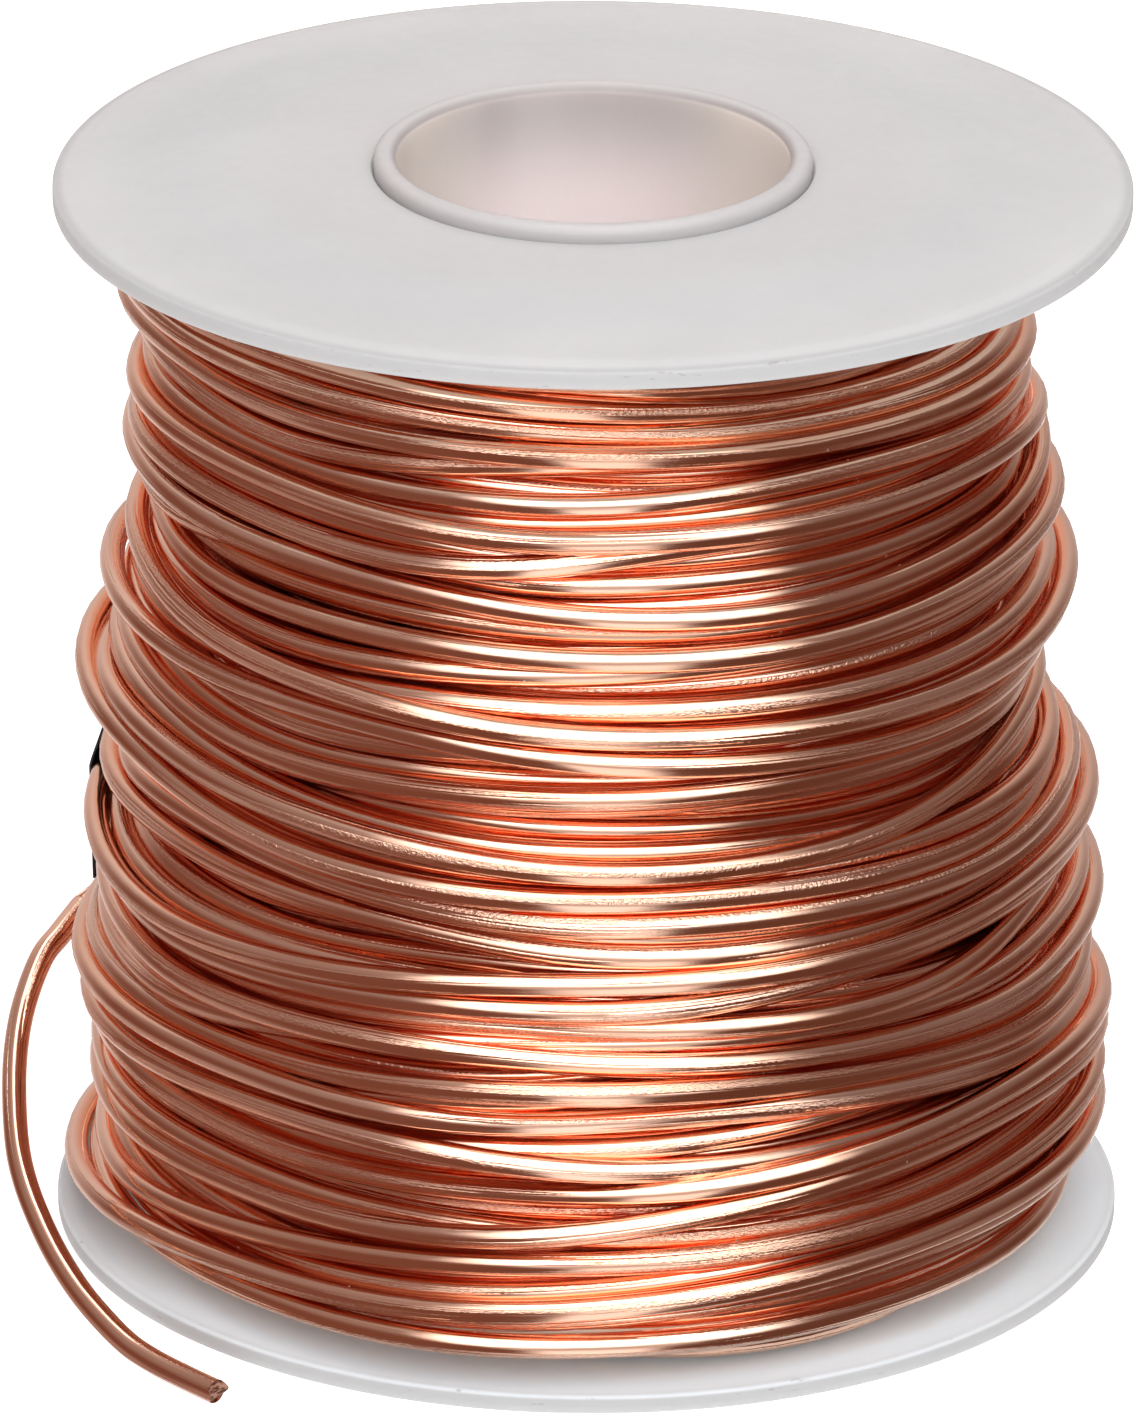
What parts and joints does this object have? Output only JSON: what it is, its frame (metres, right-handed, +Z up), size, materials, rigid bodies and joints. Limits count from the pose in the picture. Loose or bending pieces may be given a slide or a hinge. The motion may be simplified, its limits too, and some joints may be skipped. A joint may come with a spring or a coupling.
{
  "type": "wire spool",
  "caption": "Moulded plastic spool with a through bore and raised hub lips, wound with bare copper wire whose free end hangs off the pack and rests beside the lower flange.",
  "frame": {"origin": "centre of the lower end of the tube, on the surface that the spool stands on", "axes": "+Z up along the spool's axis, -Y towards the side where the free end of the wire comes to rest on the left front, -X towards the side where it leaves the pack"},
  "size_m": [0.0733, 0.0698, 0.0756],
  "materials": {
    "spool_plastic": "natural milky polypropylene, satin, slightly see-through",
    "copper_wire": "bright drawn bare copper",
    "black_tape": "black vinyl tape, satin"
  },
  "bodies": {
    "root": {"core_tube": "spool_plastic", "bottom_flange": "spool_plastic", "top_flange": "spool_plastic", "wire_winding": "copper_wire", "wire_tail": "copper_wire", "hold_down_tape": "black_tape"}
  },
  "joints": []
}
